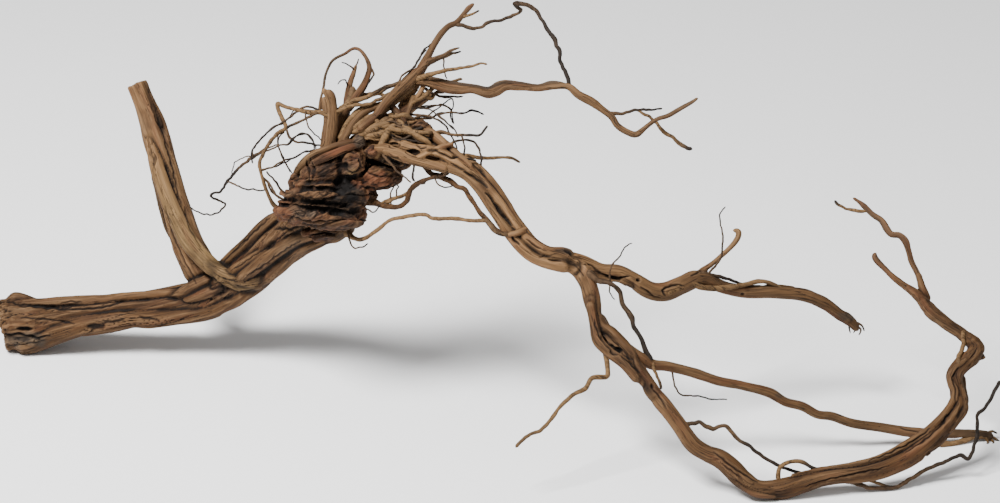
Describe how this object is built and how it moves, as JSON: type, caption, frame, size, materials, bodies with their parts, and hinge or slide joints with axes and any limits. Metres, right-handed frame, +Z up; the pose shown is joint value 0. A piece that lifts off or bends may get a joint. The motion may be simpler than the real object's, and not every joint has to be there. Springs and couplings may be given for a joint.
{
  "type": "driftwood",
  "caption": "Long piece of root driftwood: a stump end, an upright sawn stub, a gnarled burl with a crown of fine roots, and twisted limbs that sweep down to a curled end.",
  "frame": {"origin": "middle of the bounding box's underside, on the floor that the feet stand on", "axes": "+X along the length, from the stump end to the curled end; -Y towards the viewer of the picture; +Z up"},
  "size_m": [0.802, 0.3414, 0.3139],
  "materials": {
    "wood": "dry, unfinished, matt, weathered grain"
  },
  "bodies": {
    "root": {"driftwood": "wood"}
  },
  "joints": []
}
